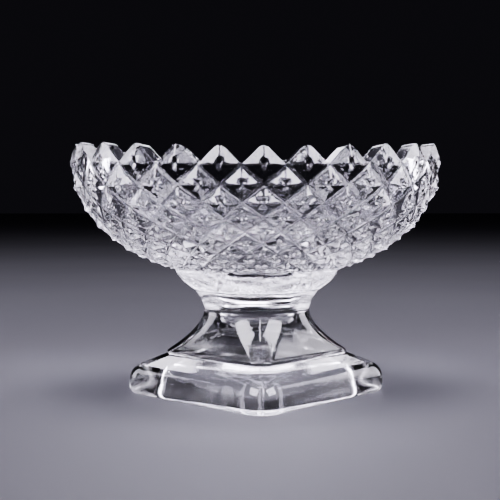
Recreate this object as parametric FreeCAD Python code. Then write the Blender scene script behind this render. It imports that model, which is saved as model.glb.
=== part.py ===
"""Footed glass dish: an oval bowl pressed with diamonds, on a waisted stem and a lozenge foot.

Millimetres, +Z up.  The origin is on the table under the middle of the foot.  The bowl's long axis
runs along X, and one corner of the foot points forward, along -Y.
"""
import FreeCAD, Part
import os
from math import cos, pi, sin

Vector = FreeCAD.Vector

# ---- driving dimensions (mm) ----
bowl_length = 80.0          # over the diamonds, end to end
bowl_width = 52.0           # over the diamonds, front to back
dish_height = 53.1          # table to the tooth tips at the ends
rim_dip = 1.4               # how much lower the notches lie at the front and back
wall = 2.3                  # glass between the grooves and the inside, at the rim
end_tooth = 4.7             # notch to where a tooth's flanks would meet, at the ends
side_tooth = 4.2            # the same at the front and back

tooth_count = 24            # teeth around the rim
row_count = 10              # rows of diamonds below them
tip_rounding = 0.3          # share of a tooth's flanks that its rounded tip takes
relief = 1.8                # how far a diamond of the top row stands out of its grooves
row_shrink = 0.3            # height of the lowest row over that of the highest

band_length = 34.8          # plain band under the diamonds, at its top
band_width = 30.4
band_level = 26.7           # height of the last grooves, where the band starts
band_proud = 0.6            # how far the band stands out from the last grooves
band_bulge = 0.45           # how far the band bulges past a straight taper
bowl_floor = 30.6           # bottom of the inside

joint_length = 26.8         # where the bowl meets the stem
joint_width = 25.8
joint_level = 22.2
neck_length = 22.6          # narrowest part of the stem
neck_width = 21.8
neck_level = 17.9
step_length = 38.7          # base of the stem, across its corners
step_width = 34.0
step_level = 8.4            # height of the joint between the stem and the foot
step_corner = 3.6           # radius of the corners of the stem's base, seen from above
step_inset = 0.4            # the stem's spread ends this far inside its upright edge
step_edge = 0.9             # upright edge around the stem's base

foot_length = 54.8          # across the corners, side to side
foot_width = 48.0           # across the corners, front to back
foot_corner = 4.2           # radius of the foot's corners, seen from above
foot_edge = 5.3             # height of the foot's upright edge
foot_lip = 1.6              # rounding at the table
foot_shoulder = 3.8         # rounding above the upright edge
hollow_margin = 7.2         # from the foot's corners to the hollow under it
hollow_depth = 4.2          # height of the hollow's roof above the table
hollow_rounding = 1.6       # rounding where the hollow's wall turns into its roof
hollow_draft = 0.5          # how far the hollow's wall leans in, over its height

# ---- derived ----
half_steps = 2 * tooth_count
notch_level = dish_height - end_tooth * (1 - tip_rounding / 2)
apex_radius_end = bowl_length / 2
apex_radius_side = bowl_width / 2
flare_sections = 3          # outlines that the stem's spread is drawn through
sink = Vector(0, 0, 0.6)    # the diamond block runs this far into the band before they are fused

# ---- shares that set how curves run ----
upright_share = 0.46        # how long the bowl's side stays upright, over its height
belly_reach = 0.58          # how far out the bowl's underside stays full
belly_lift = 0.16           # how steeply the underside leaves the band
cup_fullness = 0.62         # how full the inside is: 1 would be a box
oval = 0.4                  # roundness of the bowl's and the stem's plain parts, over their width
flare_power = 1.75          # how late the stem spreads: 1 would be a straight cone


def bezier(points):
    """A Bezier curve through the first and last of the points, pulled by those between."""
    curve = Part.BezierCurve()
    curve.setPoles([Vector(x, 0, z) for x, z in points])
    return curve


def groove_profile(apex_radius, bottom_radius, top_level):
    """Line of the grooves down one side of the bowl: upright at the rim, sloping at the band."""
    top_radius = apex_radius - relief
    drop = top_level - band_level
    inward = top_radius - bottom_radius
    return bezier([
        (top_radius, top_level),
        (top_radius, top_level - upright_share * drop),
        (bottom_radius + belly_reach * inward, band_level + belly_lift * drop),
        (bottom_radius, band_level),
    ])


end_profile = groove_profile(apex_radius_end, band_length / 2 - band_proud, notch_level)
side_profile = groove_profile(apex_radius_side, band_width / 2 - band_proud, notch_level - rim_dip)


def row_share(row):
    """Share of a profile's length above a row: the rows shrink evenly downward."""
    heights = [1 - (1 - row_shrink) * k / (row_count - 1) for k in range(row_count)]
    return sum(heights[:row]) / sum(heights)


def along(profile, row, tooth):
    """Point of a profile at a row, or at a tooth's tip above the first row."""
    if row < 0:
        return profile.value(0) - profile.tangent(0)[0] * tooth
    if row == row_count:
        return profile.value(1)
    return profile.value(profile.parameterAtDistance(row_share(row) * profile.length(), 0))


def wall_point(column, row):
    """Point of the groove surface: columns are even around the oval, from the front."""
    end = along(end_profile, row, end_tooth)
    side = along(side_profile, row, side_tooth)
    ring = Part.Ellipse(Vector(0, 0, 0), end.x, side.x)
    angle = ring.parameterAtDistance(ring.length() * column / half_steps, -pi / 2)
    level = side.z + (end.z - side.z) * cos(angle) ** 2
    return Vector(end.x * cos(angle), side.x * sin(angle), level)


def wall_points():
    """Every point of the groove surface, by column and row."""
    return {(column, row): wall_point(column, row)
            for column in range(half_steps) for row in range(-1, row_count + 1)}


def raised(points, column, row):
    """A wall point pushed out of the grooves, to the tip of its diamond."""
    across = points[(column + 1) % half_steps, row] - points[(column - 1) % half_steps, row]
    down = points[column, row + 1] - points[column, row - 1]
    outward = down.cross(across)
    outward.normalize()
    share = (1 - (1 - row_shrink) * row / (row_count - 1))
    return points[column, row] + outward * (relief * share)


def tooth_outline(points, column):
    """A tooth from one notch to the next, its tip rounded over."""
    left = points[(column - 1) % half_steps, 0]
    right = points[(column + 1) % half_steps, 0]
    tip = points[column, -1]
    left_shoulder = tip + (left - tip) * tip_rounding
    right_shoulder = tip + (right - tip) * tip_rounding
    crown = (left_shoulder + tip * 2 + right_shoulder) * 0.25
    return [left, left_shoulder, crown, right_shoulder, right]


def fan(centre, outline):
    """Triangles from one point to each stretch of an outline."""
    return [Part.Face(Part.makePolygon([centre, start, end, centre]))
            for start, end in zip(outline, outline[1:])]


def diamond_block():
    """The bowl's outside as one block: diamonds all round, and the sawtooth rim over its whole top."""
    points = wall_points()
    middle = Vector(0, 0, notch_level - rim_dip / 2)
    faces = []
    for row in range(row_count):
        for column in range(row % 2, half_steps, 2):
            tip = raised(points, column, row)
            left = points[(column - 1) % half_steps, row]
            right = points[(column + 1) % half_steps, row]
            below = points[column, row + 1]
            above = [left, points[column, row - 1], right]
            if row == 0:
                above = tooth_outline(points, column)
                faces += fan(middle, above)
            faces += fan(tip, above)
            faces += fan(tip, [right, below, left])
    ring = [points[column, row_count] for column in range(row_count % 2 + 1, half_steps, 2)]
    for start, end, column in zip(ring, ring[1:] + ring[:1], range(row_count % 2 + 2, half_steps + 2, 2)):
        faces += fan(points[column % half_steps, row_count - 1], [start, end])
        faces += fan(start, [end, end - sink])
        faces += fan(end - sink, [start - sink, start])
    faces.append(Part.Face(Part.makePolygon([corner - sink for corner in ring + ring[:1]])))
    shell = Part.makeShell(faces)
    shell.sewShape()
    return Part.makeSolid(shell)


def lozenge(length, width, roundness, level):
    """A lozenge outline whose corners are arcs: the rounder it is, the closer to an oval."""
    reach = length / 2 - roundness
    depth = width / 2 - roundness
    slant = Vector(depth, reach, 0)
    slant.normalize()
    corners = [Vector(reach, 0, level), Vector(0, depth, level),
               Vector(-reach, 0, level), Vector(0, -depth, level)]
    sides = [Vector(slant.x, slant.y, 0), Vector(-slant.x, slant.y, 0),
             Vector(-slant.x, -slant.y, 0), Vector(slant.x, -slant.y, 0)]
    ways = [Vector(1, 0, 0), Vector(0, 1, 0), Vector(-1, 0, 0), Vector(0, -1, 0)]
    edges = []
    for k in range(4):
        corner = corners[k]
        start = corner + sides[k - 1] * roundness
        end = corner + sides[k] * roundness
        edges.append(Part.Arc(start, corner + ways[k] * roundness, end).toShape())
        edges.append(Part.makeLine(end, corners[(k + 1) % 4] + sides[k] * roundness))
    return Part.Wire(edges)


def make_band():
    """The plain glass under the diamonds, drawn in to the stem."""
    length = (joint_length + band_length) / 2 + 2 * band_bulge
    width = (joint_width + band_width) / 2 + 2 * band_bulge
    level = (band_level + joint_level) / 2
    return Part.makeLoft([
        lozenge(joint_length, joint_width, joint_width * oval, joint_level),
        lozenge(length, width, width * oval, level),
        lozenge(band_length, band_width, band_width * oval, band_level),
    ], True, False)


def make_cavity():
    """The inside of the bowl: an oval cup, open above the rim."""
    half_length = apex_radius_end - relief - wall
    half_width = apex_radius_side - relief - wall
    depth = notch_level - bowl_floor
    side = bezier([(half_length, notch_level), (half_length, notch_level - cup_fullness * depth),
                   (cup_fullness * half_length, bowl_floor), (0, bowl_floor)]).toShape()
    top = dish_height + relief
    corners = [Vector(0, 0, bowl_floor), Vector(0, 0, top), Vector(half_length, 0, top),
               Vector(half_length, 0, notch_level)]
    outline = Part.Wire([side] + [Part.makeLine(a, b) for a, b in zip(corners, corners[1:])])
    cup = Part.Face(outline).revolve(Vector(0, 0, 0), Vector(0, 0, 1), 360)
    squeeze = FreeCAD.Matrix()
    squeeze.scale(1, half_width / half_length, 1)
    return cup.transformGeometry(squeeze)


def make_bowl():
    """Diamond block and plain band in one, hollowed out."""
    return diamond_block().fuse(make_band()).cut(make_cavity())


def make_stem():
    """Waisted stem that spreads to a lozenge with a low upright edge."""
    top_of_edge = step_level + step_edge
    sections = [lozenge(joint_length, joint_width, joint_width * oval, joint_level),
                lozenge(neck_length, neck_width, neck_width * oval, neck_level)]
    spread = neck_level - top_of_edge
    for part in range(1, flare_sections + 1):
        share = part / flare_sections
        fullness = share ** flare_power
        length = neck_length + (step_length - 2 * step_inset - neck_length) * fullness
        width = neck_width + (step_width - 2 * step_inset - neck_width) * fullness
        roundness = width * oval + (step_corner - width * oval) * fullness
        sections.append(lozenge(length, width, roundness, neck_level - spread * share))
    flare = Part.makeLoft(sections, True, False)
    base = Part.makeLoft([sections[-1], lozenge(step_length, step_width, step_corner, step_level)],
                         True, True)
    return flare.fuse(base)


def edges_at(shape, level):
    """The edges of a shape that lie flat at one height."""
    near = 0.001
    return [edge for edge in shape.Edges
            if abs(edge.BoundBox.ZMin - level) < near and abs(edge.BoundBox.ZMax - level) < near]


def make_foot():
    """Lozenge foot: upright edge, sloping top up to the stem, hollow underneath."""
    step = lozenge(step_length, step_width, step_corner, step_level)
    shoulder = lozenge(foot_length, foot_width, foot_corner, foot_edge)
    table = lozenge(foot_length, foot_width, foot_corner, 0)
    foot = Part.makeLoft([table, shoulder], True, True)
    foot = foot.fuse(Part.makeLoft([shoulder, step], True, True)).removeSplitter()
    foot = foot.makeFillet(foot_shoulder, edges_at(foot, foot_edge))
    foot = foot.makeFillet(foot_lip, edges_at(foot, 0))
    mouth_length = foot_length - 2 * hollow_margin
    mouth_width = foot_width - 2 * hollow_margin
    lean = 2 * hollow_draft * hollow_depth
    hollow = Part.makeLoft([
        lozenge(mouth_length, mouth_width, foot_corner, 0),
        lozenge(mouth_length - lean, mouth_width - lean, foot_corner, hollow_depth),
    ], True, True)
    return foot.cut(hollow.makeFillet(hollow_rounding, edges_at(hollow, hollow_depth)))


def main():
    os.makedirs("parts", exist_ok=True)
    pieces = {"bowl": make_bowl(), "stem": make_stem(), "foot": make_foot()}
    for name, shape in pieces.items():
        print(name, shape.ShapeType, len(shape.Solids), shape.isValid(), round(shape.Volume),
              shape.BoundBox)
        shape.exportStep(f"parts/{name}.step")


main()
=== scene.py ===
"""Footed pressed-glass dish: looks, floor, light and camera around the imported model.

Metres, +Z up.  Each piece is a closed mesh over rings of points, in the place of the solid it stands for.
"""
from math import cos, pi, radians, sin

import bmesh
import bpy
import numpy as np
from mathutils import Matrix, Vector


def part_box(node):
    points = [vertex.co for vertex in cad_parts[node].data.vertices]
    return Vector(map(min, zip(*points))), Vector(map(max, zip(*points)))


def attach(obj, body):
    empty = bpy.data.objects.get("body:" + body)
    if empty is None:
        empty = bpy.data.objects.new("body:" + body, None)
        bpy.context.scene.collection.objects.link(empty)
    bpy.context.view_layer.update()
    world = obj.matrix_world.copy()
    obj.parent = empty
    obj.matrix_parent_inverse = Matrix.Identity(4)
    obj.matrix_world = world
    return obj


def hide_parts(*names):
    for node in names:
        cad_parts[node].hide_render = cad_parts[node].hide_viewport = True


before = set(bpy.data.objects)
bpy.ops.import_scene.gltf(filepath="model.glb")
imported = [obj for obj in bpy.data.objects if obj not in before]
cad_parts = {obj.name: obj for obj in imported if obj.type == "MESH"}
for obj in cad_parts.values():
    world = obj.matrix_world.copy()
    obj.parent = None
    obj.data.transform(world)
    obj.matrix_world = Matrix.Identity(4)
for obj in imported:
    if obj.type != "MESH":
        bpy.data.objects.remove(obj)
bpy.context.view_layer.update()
mm = 0.001

# ---- sizes that come from the frame ----
bowl_low, bowl_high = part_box("bowl")
stem_low, stem_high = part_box("stem")
foot_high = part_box("foot")[1]
joint_level = bowl_low[2]
step_level = stem_low[2]
half_length = bowl_high[0]
half_width = bowl_high[1]

# ---- bowl ----
teeth = 24                       # around the rim
rows = 10                        # rows of diamonds below them
relief = 1.8 * mm                # how far a diamond of the top row stands out of its grooves
row_shrink = 0.3                 # height of the lowest row over that of the highest
wall = 2.3 * mm                  # glass between the grooves and the inside, at the rim
end_tooth = 4.7 * mm             # notch to where a tooth's flanks would meet, at the ends
side_tooth = 4.2 * mm            # the same at the front and back
rim_dip = 1.4 * mm               # how much lower the notches lie at the front and back
tip_round = 0.3                  # share of a tooth's flanks that its rounded tip takes
notch_round = 0.1                # the same for a notch
notch_level = bowl_high[2] - end_tooth * (1 - tip_round / 2)
band_half = (17.4 * mm, 15.2 * mm)
band_proud = 0.6 * mm            # how far the band stands out from the last grooves
band_level = 26.7 * mm           # height of the last grooves
band_lip = 0.3 * mm              # the band's own top lies this far below them
bowl_floor = 30.6 * mm

# ---- stem ----
joint_half = (13.4 * mm, 12.9 * mm)
neck_half = (11.3 * mm, 10.9 * mm)
neck_level = 17.9 * mm
step_corner = 3.6 * mm           # radius of the corners of the stem's base, seen from above
step_inset = 0.4 * mm            # the stem's spread ends this far inside its upright edge
step_edge = 0.9 * mm             # upright edge around the stem's base
step_rounding = 0.2 * mm         # cut of the rounding above that edge

# ---- foot ----
foot_corner = 4.2 * mm           # radius of the foot's corners, seen from above
foot_edge = 5.3 * mm             # height of the foot's upright edge
foot_shoulder = 2.6 * mm         # cut of the rounding above that edge
foot_lip = 1.6 * mm              # cut of the rounding at the table
hollow_margin = 7.2 * mm         # from the foot's corners to the hollow under it
hollow_depth = 4.2 * mm          # height of the hollow's roof above the table
hollow_lean = 2.1 * mm           # how far the hollow's wall leans in, over its height
hollow_corner = 3.6 * mm         # radius of the corners of the hollow's roof, seen from above
hollow_lip = 0.5 * mm            # cut of the rounding at the hollow's mouth
hollow_rounding = 1.5 * mm       # cut of the rounding where the hollow's wall turns into its roof

# ---- shares that set how curves run ----
upright_share = 0.46             # how long the bowl's side stays upright, over its height
belly_reach = 0.58               # how far out the bowl's underside stays full
belly_lift = 0.16                # how steeply the underside leaves the band
cup_fullness = 0.62              # how full the inside is: 1 would be a box
band_power = 1.6                 # how early the band spreads: 1 would be a straight cone
flare_power = 1.75               # how late the stem spreads from its neck: 1 would be a straight cone
oval = 0.8                       # roundness of plain parts, over their half width

# ---- mesh ----
fine = 12                        # mesh steps in half a tooth
gather = 0.55                    # how much closer the steps are near tips and corners
columns = 2 * teeth * fine
corner_points = 41               # points on each corner of a lozenge


# ---------------------------------------------------------------- node helpers
class Number:
    """A node socket that grows Math nodes when Python's operators are used on it."""

    def __init__(self, tree, socket):
        self.tree = tree
        self.socket = socket

    def math(self, operation, *others, flip=False):
        values = [self, *others]
        if flip:
            values.reverse()
        return self.tree.add("ShaderNodeMath", dict(enumerate(values)), operation=operation)

    def __add__(self, other):
        return self.math("ADD", other)

    def __sub__(self, other):
        return self.math("SUBTRACT", other)

    def __rsub__(self, other):
        return self.math("SUBTRACT", other, flip=True)

    def __mul__(self, other):
        return self.math("MULTIPLY", other)

    def __truediv__(self, other):
        return self.math("DIVIDE", other)

    def __pow__(self, other):
        return self.math("POWER", other)

    def __abs__(self):
        return self.math("ABSOLUTE")

    __radd__ = __add__

    def soft(self, width):
        """Its distance from zero, rounded off within a width."""
        return (self * self + width * width).math("SQRT")


class Tree:
    """A node tree that is filled by one method."""

    def __init__(self, tree):
        self.tree = tree

    def add(self, kind, inputs=None, output=0, **settings):
        """Adds a node with its settings, then its socket values or links; gives one of its outputs."""
        node = self.tree.nodes.new(kind)
        for name, value in settings.items():
            if name == "stops":
                for stop, (place, colour) in zip(node.color_ramp.elements, value):
                    stop.position = place
                    stop.color = colour
            else:
                setattr(node, name, value)
        for name, value in (inputs or {}).items():
            if isinstance(value, Number):
                self.tree.links.new(value.socket, node.inputs[name])
            else:
                node.inputs[name].default_value = value
        return Number(self, node.outputs[output]) if node.outputs else node


# ---------------------------------------------------------------- shapes
def bezier(points, steps=200):
    """Points along a Bezier curve of any degree, from its control points."""
    share = np.linspace(0, 1, steps + 1)[:, None]
    layers = [np.array(point, float) for point in points]
    while len(layers) > 1:
        layers = [a + (b - a) * share for a, b in zip(layers, layers[1:])]
    return layers[0]


def even(path, shares):
    """Points at shares of a path's length."""
    run = np.r_[0, np.cumsum(np.linalg.norm(np.diff(path, axis=0), axis=1))]
    places = np.array(shares) * run[-1]
    return np.stack([np.interp(places, run, path[:, k]) for k in range(path.shape[1])], -1)


def groove_profile(apex_radius, bottom_radius, top_level):
    """Line of the grooves down one side of the bowl: upright at the rim, sloping at the band."""
    top_radius = apex_radius - relief
    drop = top_level - band_level
    inward = top_radius - bottom_radius
    return bezier([(top_radius, top_level), (top_radius, top_level - upright_share * drop),
                   (bottom_radius + belly_reach * inward, band_level + belly_lift * drop),
                   (bottom_radius, band_level)])


end_profile = groove_profile(half_length, band_half[0] - band_proud, notch_level)
side_profile = groove_profile(half_width, band_half[1] - band_proud, notch_level - rim_dip)


def row_share(row):
    """Share of a profile's length above a row: the rows shrink evenly downward."""
    shrink = (1 - row_shrink) / (rows - 1)
    return (row - shrink * row * (row - 1) / 2) / (rows - shrink * rows * (rows - 1) / 2)


def profile_at(profile, row, tooth):
    """Radius and level of a profile at each row, or above the notches where the row is negative."""
    place = even(profile, row_share(np.maximum(row, 0)))
    place[..., 1] += np.maximum(-row, 0) * tooth
    return place


def even_angles(across, deep, shares):
    """Angles from the front that are spaced evenly around an oval."""
    quarter_degrees = 4 * 360
    angle = np.linspace(0, 2 * pi, quarter_degrees + 1)
    middle = (angle[1:] + angle[:-1]) / 2
    run = np.r_[0, np.cumsum(np.hypot(across * np.cos(middle), deep * np.sin(middle)))]
    return np.interp(shares * run[-1], run, angle)


def gathered(share):
    """Moves even steps from 0 to 1 towards both ends."""
    return share - gather * np.sin(2 * pi * share) / (2 * pi)


def half_teeth(step):
    """How many half teeth from the front a mesh column stands."""
    whole, part = np.divmod(step, fine)
    return whole + gathered(part / fine)


def row_angles(row):
    """Where the mesh columns stand at one row, as angles from the front."""
    across, deep = (profile_at(profile, np.array([row]), 0)[0, 0] for profile in (end_profile, side_profile))
    return even_angles(across, deep, around)


around = half_teeth(np.arange(columns)) / (2 * teeth)
angle_table = np.array([row_angles(row) for row in range(-1, rows + 1)])


def wall_point(column, row):
    """Points of the groove surface at whole mesh columns and any rows."""
    end = profile_at(end_profile, row, end_tooth)
    side = profile_at(side_profile, row, side_tooth)
    low = np.clip(np.floor(row).astype(int), -1, rows - 1)
    blend = np.clip(row - low, 0, 1)
    turns, place = np.divmod(column, columns)
    angle = angle_table[low + 1, place] * (1 - blend) + angle_table[low + 2, place] * blend
    angle += turns * 2 * pi
    level = side[:, 1] + (end[:, 1] - side[:, 1]) * np.sin(angle) ** 2
    return np.stack([end[:, 0] * np.sin(angle), -side[:, 0] * np.cos(angle), level], -1)


def rim_row(column):
    """The sawtooth edge, as a row number: rounded tips at -1, rounded notches at 0."""
    from_tip = np.abs((half_teeth(column) + 1) % 2 - 1)
    from_notch = 1 - from_tip
    tooth = np.where(from_tip < tip_round,
                     1 - tip_round / 2 - from_tip ** 2 / (2 * tip_round), from_notch)
    tooth = np.where(from_notch < notch_round, from_notch ** 2 / (2 * notch_round) + notch_round / 2, tooth)
    return -tooth


def lozenge(half_across, half_deep, roundness, level):
    """Points around a lozenge with rounded corners, from the front: the rounder, the closer to an oval."""
    reach = half_across - roundness
    depth = half_deep - roundness
    slant = np.arctan2(reach, depth)
    corners = []
    for way, half_turn in zip((0, pi / 2, pi, 3 * pi / 2), (pi / 2 - slant, slant) * 2):
        turn = way + np.linspace(-half_turn, half_turn, corner_points)
        middle = np.array([np.sin(way) * reach, -np.cos(way) * depth])
        corners.append(middle + roundness * np.stack([np.sin(turn), -np.cos(turn)], -1))
    outline = np.roll(np.concatenate(corners), -(corner_points // 2), axis=0)
    ring = even(np.concatenate([outline, outline[:1]]), around)
    return np.column_stack([ring, np.full(columns, level)])


def skin(name, rings, clear_rings=()):
    """A closed mesh over rings of points, from a middle point to a middle point.

    The faces after each of the clear rings take the second material.
    """
    mesh = bpy.data.meshes.new(name)
    points = []
    starts = []
    for ring in rings:
        starts.append(len(points))
        points.extend(ring)
    faces = []
    joined = []
    for index, (upper, lower) in enumerate(zip(rings, rings[1:])):
        first, second = starts[index], starts[index + 1]
        count = max(len(upper), len(lower))
        for k in range(count):
            n = (k + 1) % count
            if len(upper) == 1:
                faces.append((first, second + k, second + n))
            elif len(lower) == 1:
                faces.append((first + k, second, first + n))
            else:
                faces.append((first + k, second + k, second + n, first + n))
            joined.append(index in clear_rings)
    mesh.from_pydata([tuple(point) for point in points], [], faces)
    mesh.materials.append(None)
    mesh.materials.append(None)
    mesh.polygons.foreach_set("material_index", [int(flag) for flag in joined])
    shape = bmesh.new()
    shape.from_mesh(mesh)
    bmesh.ops.recalc_face_normals(shape, faces=shape.faces)
    shape.to_mesh(mesh)
    shape.free()
    mesh.polygons.foreach_set("use_smooth", [True] * len(mesh.polygons))
    piece = bpy.data.objects.new(name, mesh)
    bpy.context.scene.collection.objects.link(piece)
    return piece


def middle_of(ring):
    """The one point in the middle of a ring."""
    return ring.mean(axis=0)[None]


# ---------------------------------------------------------------- bowl
def band_ring(share):
    """Ring of the plain band, from the stem's joint up to the diamonds."""
    full = 1 - (1 - share) ** band_power
    half = [low + (high - low) * full for low, high in zip(joint_half, band_half)]
    return lozenge(*half, half[1] * oval, joint_level + (band_level - band_lip - joint_level) * share)


def cup_path(top):
    """Line of the inside, from above the rim to the middle of the floor, as a share of its half length."""
    depth = notch_level - bowl_floor
    side = bezier([(1, notch_level), (1, notch_level - cup_fullness * depth),
                   (cup_fullness, bowl_floor), (0, bowl_floor)])
    return np.concatenate([[(1, top)], side])


def mesh_steps(row):
    """How many mesh rings there are in a row of diamonds: fewer in the small rows below."""
    if row < 4:
        return fine
    return 9 if row < 7 else 7


def bowl_blank():
    """The bowl before its diamonds: every mesh point keeps its column, row and outward direction."""
    column = np.arange(columns)
    edge = rim_row(column)
    inner_half = (half_length - relief - wall, half_width - relief - wall)
    rings = []
    marks = []

    def outside(row):
        nearby = 0.05
        rings.append(wall_point(column, row))
        across = wall_point(column + 1, row) - wall_point(column - 1, row)
        down = wall_point(column, row + nearby) - wall_point(column, row - nearby)
        outward = np.cross(down, across)
        outward /= np.linalg.norm(outward, axis=1)[:, None]
        marks.append((row, outward))

    def plain(ring):
        rings.append(ring)
        marks.append((np.full(len(ring), float(rows)), np.zeros((len(ring), 3))))

    # joint face, plain band, and the lip that runs up to the last grooves
    plain(middle_of(band_ring(0)))
    for share in np.linspace(0, 1, 11):
        plain(band_ring(share))
    lip = band_ring(1)
    last = wall_point(column, np.full(columns, float(rows)))
    lip_bulge = 0.25 * mm
    for share in (0.25, 0.5, 0.75):
        plain(lip + (last - lip) * share + np.array([0, 0, lip_bulge * sin(share * pi)]))

    # diamonds, and the teeth of the rim
    for row in range(rows - 1, 0, -1):
        steps = mesh_steps(row)
        for step in range(steps, 0, -1):
            outside(np.full(columns, row + gathered(step / steps)))
    for share in (*np.linspace(0, 0.94, 12), 0.965, 0.98, 0.99, 1):
        outside(1 + (edge - 1) * share)

    # top of the rim, straight in towards the middle
    rim_outer = rings[-1]
    outer_edge = len(rings) - 1
    hub = np.array([0, 0, notch_level - rim_dip / 2])
    reach = np.hypot(rim_outer[:, 0] / inner_half[0], rim_outer[:, 1] / inner_half[1])
    rim_inner = hub + (rim_outer - hub) / reach[:, None]
    for share in (0.04, 0.09, 0.18, 0.34, 0.5, 0.66, 0.82, 0.91, 0.96, 1):
        plain(rim_outer + (rim_inner - rim_outer) * share)
    inner_edge = len(rings) - 1

    # inside, down to the middle of its floor
    path = cup_path(bowl_high[2])
    run = np.r_[0, np.cumsum(np.hypot(*(np.diff(path, axis=0) * [inner_half[0], 1]).T))]
    top = bowl_high[2] - rim_inner[:, 2]
    for share in (0.003, 0.006, 0.012, *np.linspace(0.025, 0.96, 22)):
        place = top + (run[-1] - top) * share
        out = np.interp(place, run, path[:, 0])
        plain(np.column_stack([rim_inner[:, 0] * out, rim_inner[:, 1] * out,
                               np.interp(place, run, path[:, 1])]))
    plain(np.array([[0, 0, bowl_floor]]))

    soften(rings, outer_edge, 3)
    soften(rings, inner_edge, 3)
    blank = skin("bowl", rings, clear_rings=(0,))
    values = {"column": np.concatenate([half_teeth(np.arange(len(ring))) for ring in rings]),
              "row": np.concatenate([row for row, _ in marks])}
    for name, numbers in values.items():
        blank.data.attributes.new(name, "FLOAT", "POINT").data.foreach_set("value", numbers)
    outward = blank.data.attributes.new("outward", "FLOAT_VECTOR", "POINT")
    outward.data.foreach_set("vector", np.concatenate([way for _, way in marks]).ravel())
    return blank


def soften(rings, index, times):
    """Rounds an edge over by averaging the rings on both sides of it."""
    around_edge = range(index - 3, index + 4)
    for _ in range(times):
        old = {place: rings[place].copy() for place in range(index - 4, index + 5)}
        for place in around_edge:
            rings[place] = old[place] / 2 + (old[place - 1] + old[place + 1]) / 4


def diamond_press():
    """Geometry nodes that press rows of pyramids, with a pit at each tip, along the outward directions."""
    pit_waist = 0.25       # width of a pit at its middle, over that at its ends
    pit_side = 0.08        # width over which a pit's sides fall, in half teeth
    nonzero = 0.01
    group = bpy.data.node_groups.new("diamond press", "GeometryNodeTree")
    face = group.interface
    face.new_socket("Geometry", in_out="INPUT", socket_type="NodeSocketGeometry")
    for name in ("Relief", "Rows", "Shrink", "Ridge Softness", "Face Roundness", "Groove Softness",
                 "Pit Width", "Pit Height", "Pit Depth"):
        face.new_socket(name, in_out="INPUT", socket_type="NodeSocketFloat")
    face.new_socket("Glass", in_out="INPUT", socket_type="NodeSocketMaterial")
    face.new_socket("Geometry", in_out="OUTPUT", socket_type="NodeSocketGeometry")
    tree = Tree(group)
    source = group.nodes.new("NodeGroupInput")
    given = {socket.name: Number(tree, socket) for socket in source.outputs if socket.name}

    def attribute(name, kind="FLOAT"):
        return tree.add("GeometryNodeInputNamedAttribute", {"Name": name}, data_type=kind)

    column = attribute("column")
    row = attribute("row")
    along = (column + row) / 2
    down = (column - row) / 2
    nearest_along = along.math("ROUND")
    nearest_down = down.math("ROUND")
    aside = abs(along - nearest_along)
    below = abs(down - nearest_down)
    sideways = abs(column - nearest_along - nearest_down)
    upward = abs(row - nearest_along + nearest_down)
    upright = upward / (upward + sideways + nonzero)
    extra = given["Face Roundness"] - given["Ridge Softness"]
    soft = given["Ridge Softness"] + extra * upright * upright
    from_tip = (aside + below + (aside - below).soft(soft)) / 2
    rise = 1 - from_tip * 2
    height = (rise + (rise * rise + given["Groove Softness"] ** 2).math("SQRT")) / 2
    diamond_row = nearest_along - nearest_down
    size = 1 - (1 - given["Shrink"]) * diamond_row / (given["Rows"] - 1)
    from_pit = upward * size / given["Pit Height"]
    pit_reach = given["Pit Width"] * (pit_waist + from_pit * (1 - pit_waist))
    inside_pit = (pit_reach - sideways) / pit_side
    cut = (1 - from_pit).math("MAXIMUM", 0.0) * inside_pit.math("MAXIMUM", 0.0).math("MINIMUM", 1.0)
    height = height - given["Pit Depth"] * cut
    pressed = diamond_row.math("LESS_THAN", given["Rows"] - 0.5)
    push = given["Relief"] * size * height * pressed
    offset = tree.add("ShaderNodeVectorMath", {0: attribute("outward", "FLOAT_VECTOR"), "Scale": push},
                      operation="SCALE")
    moved = tree.add("GeometryNodeSetPosition", {"Geometry": given["Geometry"], "Offset": offset})
    real = tree.add("GeometryNodeRealizeInstances", {"Geometry": moved})
    uncovered = tree.add("GeometryNodeInputMaterialIndex").math("LESS_THAN", 0.5)
    glazed = tree.add("GeometryNodeSetMaterial",
                      {"Geometry": real, "Selection": uncovered, "Material": given["Glass"]})
    sink = group.nodes.new("NodeGroupOutput")
    group.links.new(glazed.socket, sink.inputs[0])
    return group


def pressed_bowl(blank, finish, joint_finish):
    """The blank with its diamonds, as a plain mesh."""
    blank.data.materials[0] = finish
    blank.data.materials[1] = joint_finish
    press = blank.modifiers.new("diamonds", "NODES")
    press.node_group = diamond_press()
    sizes = {"Relief": relief, "Rows": rows, "Shrink": row_shrink,
             "Ridge Softness": 0.03, "Face Roundness": 0.03, "Groove Softness": 0.16,
             "Pit Width": 0.34, "Pit Height": 0.26, "Pit Depth": 0.65}
    for socket in press.node_group.interface.items_tree:
        if socket.in_out == "INPUT" and socket.name in sizes:
            press[socket.identifier] = float(sizes[socket.name])
        elif socket.in_out == "INPUT" and socket.name == "Glass":
            press[socket.identifier] = finish
    ready = blank.evaluated_get(bpy.context.evaluated_depsgraph_get())
    mesh = bpy.data.meshes.new_from_object(ready)
    blank.modifiers.remove(press)
    blank.data = mesh
    return blank


# ---------------------------------------------------------------- stem and foot
def swept(corners, steps=6):
    """A path of outline sizes: each corner is (sizes, cut), and is rounded over the cut on both sides."""
    path = []
    for index, (sizes, cut) in enumerate(corners):
        here = np.array(sizes, float)
        if cut == 0 or index in (0, len(corners) - 1):
            path.append(here)
            continue
        before, after = (np.array(corners[k][0], float) for k in (index - 1, index + 1))
        start = here + (before - here) * cut / travel(before, here)
        end = here + (after - here) * cut / travel(after, here)
        path.extend(bezier([start, here, end], steps))
    return path


def travel(first, second):
    """How far a section moves between two outline sizes, out and up."""
    return np.hypot(first[0] - second[0], first[3] - second[3])


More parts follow.
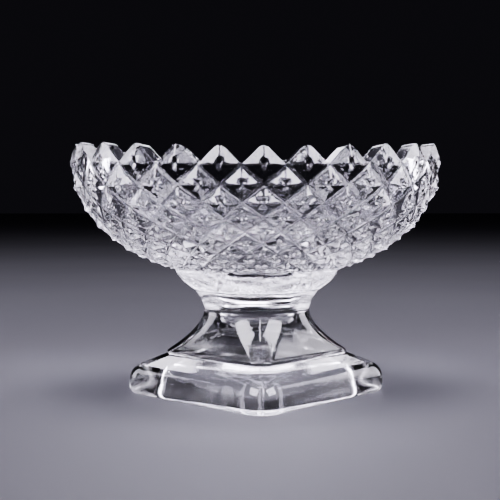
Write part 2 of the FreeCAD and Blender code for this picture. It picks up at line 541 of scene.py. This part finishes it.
def stem_rings():
    """From the joint with the bowl, in to the neck, and out to the lozenge base."""
    step_half = (stem_high[0], stem_high[1])
    edge_level = step_level + step_edge
    shoulder_level = edge_level - 0.25 * mm
    rings_above_neck = 19
    rings_below_neck = 32
    sizes = []
    for share in np.linspace(1, 0, rings_above_neck, endpoint=False):
        full = share ** flare_power
        half = [low + (high - low) * full for low, high in zip(neck_half, joint_half)]
        sizes.append((*half, half[1] * oval, neck_level + (joint_level - neck_level) * share))
    for share in np.linspace(0, 1, rings_below_neck):
        full = share ** flare_power
        half = [low + (high - step_inset - low) * full for low, high in zip(neck_half, step_half)]
        neck_round = neck_half[1] * oval
        sizes.append((*half, neck_round + (step_corner - neck_round) * full,
                      neck_level + (edge_level - neck_level) * share))
    flare = sizes.pop()
    edge = swept([(sizes[-1], 0), (flare, 0), ((*step_half, step_corner, shoulder_level), step_rounding),
                  ((*step_half, step_corner, step_level), 0)])
    rings = [lozenge(*size) for size in sizes + edge[1:]]
    return [middle_of(rings[0])] + rings + [middle_of(rings[-1])]


def foot_rings():
    """From the middle of the top, over the slope and the upright edge, under the lip and into the hollow."""
    step = (stem_high[0], stem_high[1], step_corner, step_level)
    outer = (foot_high[0], foot_high[1], foot_corner)
    mouth = (foot_high[0] - hollow_margin, foot_high[1] - hollow_margin, foot_corner)
    roof = (mouth[0] - hollow_lean, mouth[1] - hollow_lean, hollow_corner)
    middle = [size * 0.3 for size in roof]
    path = swept([(step, 0), ((*outer, foot_edge), foot_shoulder), ((*outer, 0), foot_lip),
                  ((*mouth, 0), hollow_lip), ((*roof, hollow_depth), hollow_rounding),
                  ((*middle, hollow_depth), 0)])
    dense = []
    ring_step = 0.9 * mm
    for first, second in zip(path, path[1:]):
        parts = max(1, round(travel(first, second) / ring_step))
        dense.extend(first + (second - first) * part / parts for part in range(parts))
    rings = [lozenge(*size) for size in dense + [path[-1]]]
    return [middle_of(rings[0])] + rings + [middle_of(rings[-1])]


# ---------------------------------------------------------------- materials
def material(name):
    """A new material and its tree, with the starting nodes removed."""
    made = bpy.data.materials.new(name)
    made.use_nodes = True
    made.node_tree.nodes.clear()
    return made, Tree(made.node_tree)


def finish_tree(tree, surface):
    """Joins the last shader to the material's surface."""
    tree.add("ShaderNodeOutputMaterial", {"Surface": surface})


def noise(tree, place, scale, detail):
    """Noise over a place, with so many bumps to a metre."""
    return tree.add("ShaderNodeTexNoise", {"Vector": place, "Scale": scale, "Detail": detail})


def clear_glass(name, grain_height, seam_height, haze_depth, deepest):
    """Pressed glass: the fine grain, slow ripple and middle seam of the mould, haze, and darker specks."""
    seam_half_width = 0.16 * mm
    made, tree = material(name)
    place = tree.add("ShaderNodeTexCoord", output="Object")
    grain = noise(tree, place, 1300.0, 2.0)
    ripple = noise(tree, place, 180.0, 1.0)
    across = tree.add("ShaderNodeSeparateXYZ", {"Vector": place}, output="X")
    seam = (1 - abs(across) / seam_half_width).math("MAXIMUM", 0.0)
    bump_height = grain * grain_height + ripple + seam * seam_height
    bump = tree.add("ShaderNodeBump", {"Height": bump_height, "Strength": 0.8, "Distance": 0.1 * mm})
    haze = noise(tree, place, 90.0, 3.0)
    specks = noise(tree, place, 1200.0, 1.0)
    tone = tree.add("ShaderNodeValToRGB", {0: specks},
                    stops=[(0.4, (*deepest, 1)), (0.6, (0.99, 0.99, 1, 1))])
    surface = tree.add("ShaderNodeBsdfPrincipled", {
        "Base Color": tone, "Roughness": haze * haze_depth, "IOR": 1.52,
        "Transmission Weight": 1.0, "Normal": bump})
    finish_tree(tree, surface)
    return made


def open_joint():
    """Lets everything through, where one piece of glass runs on into the next."""
    made, tree = material("open joint")
    finish_tree(tree, tree.add("ShaderNodeBsdfTransparent", {"Color": (1, 1, 1, 1)}))
    return made


def floor_with_painted_shade():
    """Pale matt table top with painted shade: it is nearly black to every ray but the camera's, so it shows
    dark where it is seen through the glass or reflected in it.
    """
    made, tree = material("pale table with painted shade")
    place = tree.add("ShaderNodeTexCoord", output="Object")
    cloud = noise(tree, place, 6.0, 3.0)
    pale = tree.add("ShaderNodeValToRGB", {0: cloud},
                    stops=[(0.3, (0.20, 0.20, 0.215, 1)), (0.7, (0.225, 0.225, 0.24, 1))])
    plainly_seen = tree.add("ShaderNodeLightPath", output="Is Camera Ray")
    # a colour mix has its factor at 0, its two colours at 6 and 7, and its result at output 2
    # painted shade: rays other than the camera's see a nearly black floor, which darkens it in the glass and
    # in the light it throws back
    tone = tree.add("ShaderNodeMix", {0: plainly_seen, 6: (0.05, 0.05, 0.056, 1), 7: pale},
                    output=2, data_type="RGBA")
    surface = tree.add("ShaderNodeBsdfPrincipled", {"Base Color": tone, "Roughness": 0.6})
    finish_tree(tree, surface)
    return made


# ---------------------------------------------------------------- build the pieces
glass = clear_glass("pressed glass", 0.45, 0.0, 0.03, (0.70, 0.69, 0.75))
seamed_glass = clear_glass("seamed glass", 0.2, 0.5, 0.22, (0.84, 0.835, 0.87))
joint = open_joint()
bowl = pressed_bowl(bowl_blank(), glass, joint)
stem_shape = stem_rings()
stem = skin("stem", stem_shape, clear_rings=(0, len(stem_shape) - 2))
foot = skin("foot", foot_rings(), clear_rings=(0,))
for piece in (stem, foot):
    piece.data.materials[0] = seamed_glass
    piece.data.materials[1] = joint
for piece, node in ((bowl, "bowl"), (stem, "stem"), (foot, "foot")):
    piece.name = "pressed_" + node
    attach(piece, "root")
    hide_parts(node)


# ---------------------------------------------------------------- floor, light, camera
def lay_table():
    """A square floor, so wide that its edges stay out of view."""
    reach = 6
    corners = [(-reach, -reach, 0), (reach, -reach, 0), (reach, reach, 0), (-reach, reach, 0)]
    mesh = bpy.data.meshes.new("table")
    mesh.from_pydata(corners, [], [(0, 1, 2, 3)])
    mesh.materials.append(floor_with_painted_shade())
    table = bpy.data.objects.new("table", mesh)
    bpy.context.scene.collection.objects.link(table)


lay_table()

dish = bpy.data.collections.new("dish")
bpy.context.scene.collection.children.link(dish)
for piece in (bowl, stem, foot):
    dish.objects.link(piece)


def softbox(name, place, size, power, only=None):
    """A rectangular soft light that faces the dish, shining on everything or only on one collection."""
    middle = Vector((0, 0, 0.03))
    light = bpy.data.lights.new(name, "AREA")
    light.shape = "RECTANGLE"
    light.size, light.size_y = size
    light.energy = power
    light.color = (0.91, 0.87, 1.0)
    made = bpy.data.objects.new(name, light)
    made.location = place
    made.rotation_euler = (middle - Vector(place)).to_track_quat("-Z", "Y").to_euler()
    bpy.context.scene.collection.objects.link(made)
    if only:
        made.light_linking.receiver_collection = only


for side, way in (("left", -1), ("right", 1)):
    softbox(side + " light", (way * 0.31, 0.07, 0.10), (0.16, 0.22), 1.0, dish)
softbox("top light", (0.0, -0.05, 0.60), (0.3, 0.3), 4.0)
softbox("back light", (0.0, 0.28, 0.34), (0.5, 0.12), 3.0, dish)
for side, way in (("left", -1), ("right", 1)):
    softbox(side + " front light", (way * 0.26, -0.21, 0.27), (0.30, 0.34), 7.5, dish)

world = bpy.data.worlds.new("studio")
bpy.context.scene.world = world
world.use_nodes = True
world.node_tree.nodes["Background"].inputs["Color"].default_value = (0.009, 0.0085, 0.011, 1)

camera = bpy.data.cameras.new("camera")
camera.sensor_width = 36
camera.lens = 61.2
camera.clip_start = 0.01
viewer = bpy.data.objects.new("camera", camera)
around_dish = radians(-3.1)
distance = 182.8 * mm
eye_level = 39.6 * mm
look_down = radians(2.83)
look_left = radians(0.458)
viewer.location = (sin(around_dish) * distance, -cos(around_dish) * distance, eye_level)
viewer.rotation_euler = (radians(90) - look_down, 0, around_dish + look_left)
bpy.context.scene.collection.objects.link(viewer)
bpy.context.scene.camera = viewer

bpy.context.scene.view_settings.look = "AgX - Medium High Contrast"
